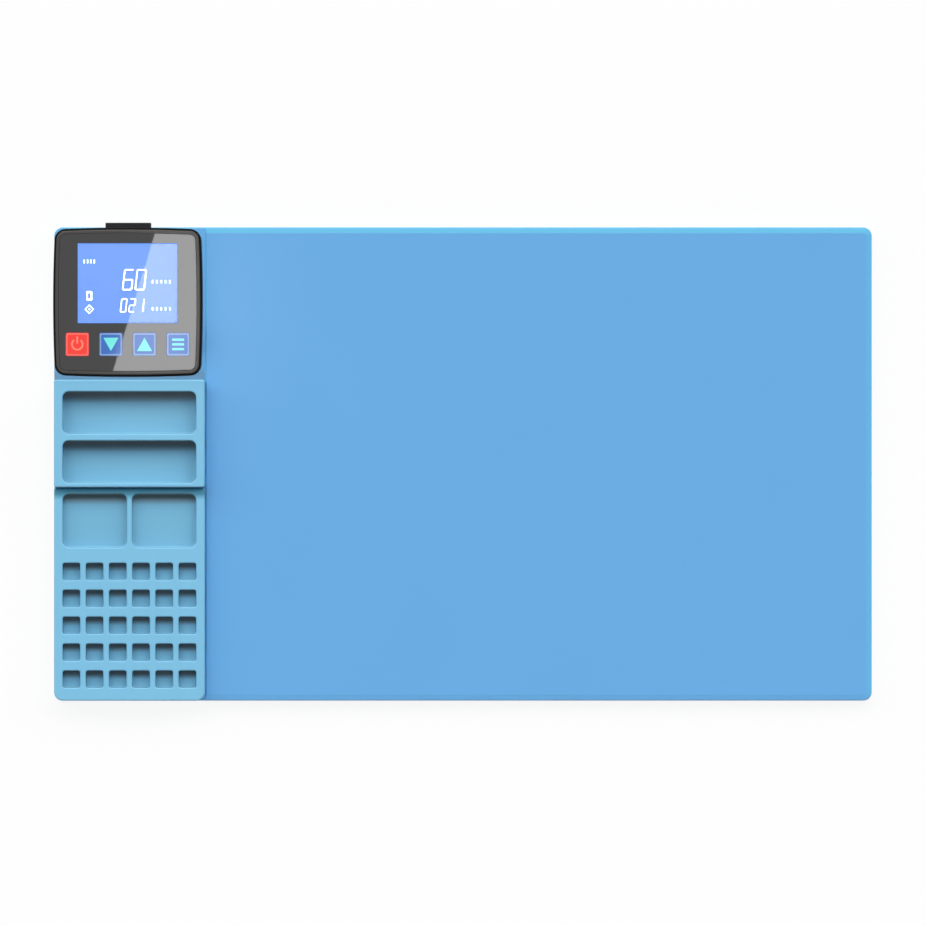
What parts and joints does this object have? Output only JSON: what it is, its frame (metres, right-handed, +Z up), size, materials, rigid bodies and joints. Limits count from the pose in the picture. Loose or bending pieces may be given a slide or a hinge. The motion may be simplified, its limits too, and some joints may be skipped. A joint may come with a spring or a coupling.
{
  "type": "heated work pad",
  "caption": "Heated silicone work pad with a push-button controller box in one corner and stepped trays for tools and screws along one side.",
  "frame": {"origin": "middle of the mat's underside, on the plane that the pad rests on", "axes": "+X along the mat's long side, away from the trays; +Y to the back edge, where the mains inlet is; +Z up"},
  "size_m": [0.38, 0.222, 0.0363],
  "materials": {
    "mat_silicone": "soft satin blue silicone",
    "tray_silicone": "soft satin light blue silicone",
    "white_felt": "needled heat-resistant felt",
    "amber_film": "amber polyimide film",
    "etched_foil": "etched resistance foil",
    "aluminium": "rolled sheet",
    "black_plastic": "fine texture",
    "black_rubber": "matt",
    "panel_gloss": "dark gloss",
    "clear_lens": "clear gloss",
    "display_blue": "blue lit display glass",
    "white_plastic": "white",
    "red_key": "satin red",
    "blue_key": "satin blue",
    "circuit_board": "green solder mask",
    "steel": "plated",
    "brass": "spring brass",
    "relay_blue": "moulded",
    "capacitor_yellow": "moulded",
    "ferrite": "sintered ferrite",
    "winding_tape": "winding tape",
    "terminal_green": "moulded",
    "fuse_glass": "clear tube",
    "lead_red": "silicone insulation",
    "lead_white": "silicone insulation"
  },
  "bodies": {
    "pad": {"work_mat": "mat_silicone", "base_sheet": "mat_silicone", "tool_tray": "tray_silicone", "screw_tray": "tray_silicone", "insulation_felt": "white_felt", "element_carrier": "amber_film", "heating_element": "etched_foil", "heat_spreader": "aluminium", "housing_base": "black_plastic", "housing_cover": "black_plastic", "clamp_plate": "black_plastic", "lcd_holder": "black_plastic", "controller_chip": "black_plastic", "power_switch": "black_plastic", "down_switch": "black_plastic", "up_switch": "black_plastic", "mode_switch": "black_plastic", "board_link": "black_plastic", "smoothing_capacitor": "black_plastic", "buzzer": "black_plastic", "mains_inlet": "black_plastic", "thermal_cutout": "black_plastic", "lead_grommet": "black_rubber", "front_panel": "panel_gloss", "display_window": "clear_lens", "lcd_glass": "display_blue", "backlight": "white_plastic", "temperature_sensor": "white_plastic", "display_board": "circuit_board", "power_board": "circuit_board", "clamp_screw_1": "steel", "clamp_screw_2": "steel", "clamp_screw_3": "steel", "clamp_screw_4": "steel", "display_screw_1": "steel", "display_screw_2": "steel", "board_screw_1": "steel", "board_screw_2": "steel", "inlet_pin_1": "steel", "inlet_pin_2": "steel", "fuse_clip_1": "brass", "fuse_clip_2": "brass", "relay": "relay_blue", "filter_capacitor": "capacitor_yellow", "transformer_core": "ferrite", "transformer_coil": "winding_tape", "terminal_block": "terminal_green", "line_fuse": "fuse_glass", "heater_lead_1": "lead_red", "heater_lead_2": "lead_red", "heater_lead_3": "lead_red", "sensor_lead_1": "lead_white", "sensor_lead_2": "lead_white", "inlet_wire_1": "lead_white", "inlet_wire_2": "lead_white"},
    "power_key_body": {"power_key": "red_key"},
    "down_key_body": {"down_key": "blue_key"},
    "up_key_body": {"up_key": "blue_key"},
    "mode_key_body": {"mode_key": "blue_key"}
  },
  "joints": [
    {"name": "power_press", "type": "slide", "parent": "pad", "child": "power_key_body", "axis": [0, 0, -1], "range_m": [0, 0.0005], "stiffness_N_per_m": 2000},
    {"name": "down_press", "type": "slide", "parent": "pad", "child": "down_key_body", "axis": [0, 0, -1], "range_m": [0, 0.0005], "stiffness_N_per_m": 2000},
    {"name": "up_press", "type": "slide", "parent": "pad", "child": "up_key_body", "axis": [0, 0, -1], "range_m": [0, 0.0005], "stiffness_N_per_m": 2000},
    {"name": "mode_press", "type": "slide", "parent": "pad", "child": "mode_key_body", "axis": [0, 0, -1], "range_m": [0, 0.0005], "stiffness_N_per_m": 2000}
  ]
}
